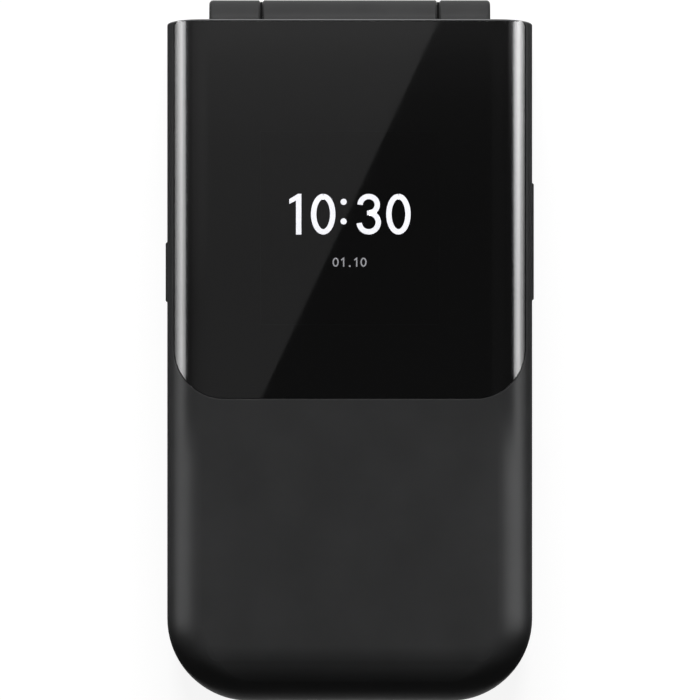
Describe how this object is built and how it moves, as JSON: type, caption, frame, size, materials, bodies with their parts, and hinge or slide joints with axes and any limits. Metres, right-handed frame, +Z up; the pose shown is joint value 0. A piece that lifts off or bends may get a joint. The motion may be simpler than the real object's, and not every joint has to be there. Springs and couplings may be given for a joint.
{
  "type": "flip phone",
  "caption": "Closed clamshell phone with a glossy display window in its lid, a barrel hinge and a keypad inside.",
  "frame": {"origin": "centre of the closed phone's plan, on the face of the back cover that it rests on", "axes": "+X to the right seen from above, +Y from the free end to the hinge, +Z up through the closed lid"},
  "size_m": [0.055, 0.1045, 0.0187],
  "materials": {
    "matte_black_plastic": "fine matte texture, very dark grey",
    "satin_black_plastic": "satin, near black",
    "dark_window": "glossy black glass",
    "display": "dark display module",
    "key_plastic": "satin dark grey keys",
    "bare_metal": "stamped and turned steel",
    "light_metal": "die-cast light alloy",
    "contact_metal": "gold-plated contacts",
    "inner_plastic": "moulded inner frame",
    "board": "green circuit board",
    "film": "polyester film with domes",
    "battery_wrap": "grey wrapped pouch",
    "rubber": "soft black rubber",
    "port_plastic": "black moulded socket",
    "ribbon": "amber flexible circuit"
  },
  "bodies": {
    "base": {"keypad_shell": "satin_black_plastic", "rear_chassis": "inner_plastic", "battery": "battery_wrap", "main_board": "board", "shield_cans": "bare_metal", "dome_sheet": "film", "loudspeaker": "inner_plastic", "camera_module": "port_plastic", "camera_window": "dark_window", "flash_lamp": "film", "vibration_motor": "bare_metal", "microphone": "bare_metal", "usb_port": "bare_metal", "audio_jack": "port_plastic", "battery_contacts": "contact_metal", "card_sockets": "bare_metal", "antenna": "ribbon", "base_screws": "bare_metal", "side_switches": "bare_metal", "hinge_shaft": "bare_metal", "hinge_bush": "bare_metal", "knuckle_caps": "satin_black_plastic"},
    "lid": {"lid_shell": "matte_black_plastic", "outer_window": "dark_window", "outer_display": "display", "lid_frame": "light_metal", "inner_display": "display", "inner_window": "dark_window", "inner_bezel": "satin_black_plastic", "earpiece": "inner_plastic", "earpiece_mesh": "bare_metal", "lid_board": "board", "lid_magnet": "bare_metal", "lid_screws": "bare_metal", "lid_bumpers": "rubber", "hinge_can": "bare_metal", "hinge_spring": "bare_metal", "hinge_flex": "ribbon"},
    "back_cover": {"back_cover": "matte_black_plastic"},
    "key_1": {"key_1": "key_plastic"},
    "key_2": {"key_2": "key_plastic"},
    "key_3": {"key_3": "key_plastic"},
    "key_4": {"key_4": "key_plastic"},
    "key_5": {"key_5": "key_plastic"},
    "key_6": {"key_6": "key_plastic"},
    "key_7": {"key_7": "key_plastic"},
    "key_8": {"key_8": "key_plastic"},
    "key_9": {"key_9": "key_plastic"},
    "key_star": {"key_star": "key_plastic"},
    "key_0": {"key_0": "key_plastic"},
    "key_hash": {"key_hash": "key_plastic"},
    "soft_key_left": {"soft_key_left": "key_plastic"},
    "soft_key_right": {"soft_key_right": "key_plastic"},
    "call_key": {"call_key": "key_plastic"},
    "end_key": {"end_key": "key_plastic"},
    "nav_pad": {"nav_pad": "rubber"},
    "nav_ring": {"nav_ring": "satin_black_plastic"},
    "ok_key": {"ok_key": "key_plastic"},
    "volume_rocker": {"volume_rocker": "satin_black_plastic"},
    "side_key": {"side_key": "satin_black_plastic"}
  },
  "joints": [
    {"name": "lid_hinge", "type": "hinge", "parent": "base", "child": "lid", "pos_m": [0, 0.04865, 0.0111], "axis": [-1, 0, 0], "range_deg": [0, 155]},
    {"name": "back_cover_release", "type": "slide", "parent": "base", "child": "back_cover", "axis": [0, 0, -1], "range_m": [0, 0.012]},
    {"name": "key_1_press", "type": "slide", "parent": "base", "child": "key_1", "axis": [0, 0, -1], "range_m": [0, 0.00025], "stiffness_N_per_m": 400, "springref_m": -0.0001},
    {"name": "key_2_press", "type": "slide", "parent": "base", "child": "key_2", "axis": [0, 0, -1], "range_m": [0, 0.00025], "stiffness_N_per_m": 400, "springref_m": -0.0001},
    {"name": "key_3_press", "type": "slide", "parent": "base", "child": "key_3", "axis": [0, 0, -1], "range_m": [0, 0.00025], "stiffness_N_per_m": 400, "springref_m": -0.0001},
    {"name": "key_4_press", "type": "slide", "parent": "base", "child": "key_4", "axis": [0, 0, -1], "range_m": [0, 0.00025], "stiffness_N_per_m": 400, "springref_m": -0.0001},
    {"name": "key_5_press", "type": "slide", "parent": "base", "child": "key_5", "axis": [0, 0, -1], "range_m": [0, 0.00025], "stiffness_N_per_m": 400, "springref_m": -0.0001},
    {"name": "key_6_press", "type": "slide", "parent": "base", "child": "key_6", "axis": [0, 0, -1], "range_m": [0, 0.00025], "stiffness_N_per_m": 400, "springref_m": -0.0001},
    {"name": "key_7_press", "type": "slide", "parent": "base", "child": "key_7", "axis": [0, 0, -1], "range_m": [0, 0.00025], "stiffness_N_per_m": 400, "springref_m": -0.0001},
    {"name": "key_8_press", "type": "slide", "parent": "base", "child": "key_8", "axis": [0, 0, -1], "range_m": [0, 0.00025], "stiffness_N_per_m": 400, "springref_m": -0.0001},
    {"name": "key_9_press", "type": "slide", "parent": "base", "child": "key_9", "axis": [0, 0, -1], "range_m": [0, 0.00025], "stiffness_N_per_m": 400, "springref_m": -0.0001},
    {"name": "key_star_press", "type": "slide", "parent": "base", "child": "key_star", "axis": [0, 0, -1], "range_m": [0, 0.00025], "stiffness_N_per_m": 400, "springref_m": -0.0001},
    {"name": "key_0_press", "type": "slide", "parent": "base", "child": "key_0", "axis": [0, 0, -1], "range_m": [0, 0.00025], "stiffness_N_per_m": 400, "springref_m": -0.0001},
    {"name": "key_hash_press", "type": "slide", "parent": "base", "child": "key_hash", "axis": [0, 0, -1], "range_m": [0, 0.00025], "stiffness_N_per_m": 400, "springref_m": -0.0001},
    {"name": "soft_key_left_press", "type": "slide", "parent": "base", "child": "soft_key_left", "axis": [0, 0, -1], "range_m": [0, 0.00025], "stiffness_N_per_m": 400, "springref_m": -0.0001},
    {"name": "soft_key_right_press", "type": "slide", "parent": "base", "child": "soft_key_right", "axis": [0, 0, -1], "range_m": [0, 0.00025], "stiffness_N_per_m": 400, "springref_m": -0.0001},
    {"name": "call_key_press", "type": "slide", "parent": "base", "child": "call_key", "axis": [0, 0, -1], "range_m": [0, 0.00025], "stiffness_N_per_m": 400, "springref_m": -0.0001},
    {"name": "end_key_press", "type": "slide", "parent": "base", "child": "end_key", "axis": [0, 0, -1], "range_m": [0, 0.00025], "stiffness_N_per_m": 400, "springref_m": -0.0001},
    {"name": "ok_key_press", "type": "slide", "parent": "base", "child": "ok_key", "axis": [0, 0, -1], "range_m": [0, 0.00025], "stiffness_N_per_m": 400, "springref_m": -0.0001},
    {"name": "side_key_press", "type": "slide", "parent": "base", "child": "side_key", "axis": [1, 0, 0], "range_m": [0, 0.00025], "stiffness_N_per_m": 400, "springref_m": -0.0001},
    {"name": "nav_tilt_ends", "type": "hinge", "parent": "base", "child": "nav_pad", "pos_m": [0, 0.02655, 0.0085], "axis": [1, 0, 0], "range_deg": [-1, 1], "stiffness_Nm_per_rad": 0.02},
    {"name": "nav_tilt_sides", "type": "hinge", "parent": "nav_pad", "child": "nav_ring", "pos_m": [0, 0.02655, 0.00885], "axis": [0, 1, 0], "range_deg": [-1, 1], "stiffness_Nm_per_rad": 0.02},
    {"name": "volume_rock", "type": "hinge", "parent": "base", "child": "volume_rocker", "pos_m": [0.02545, 0.01625, 0.00635], "axis": [0, 0, 1], "range_deg": [-1.6, 1.6], "stiffness_Nm_per_rad": 0.02}
  ]
}
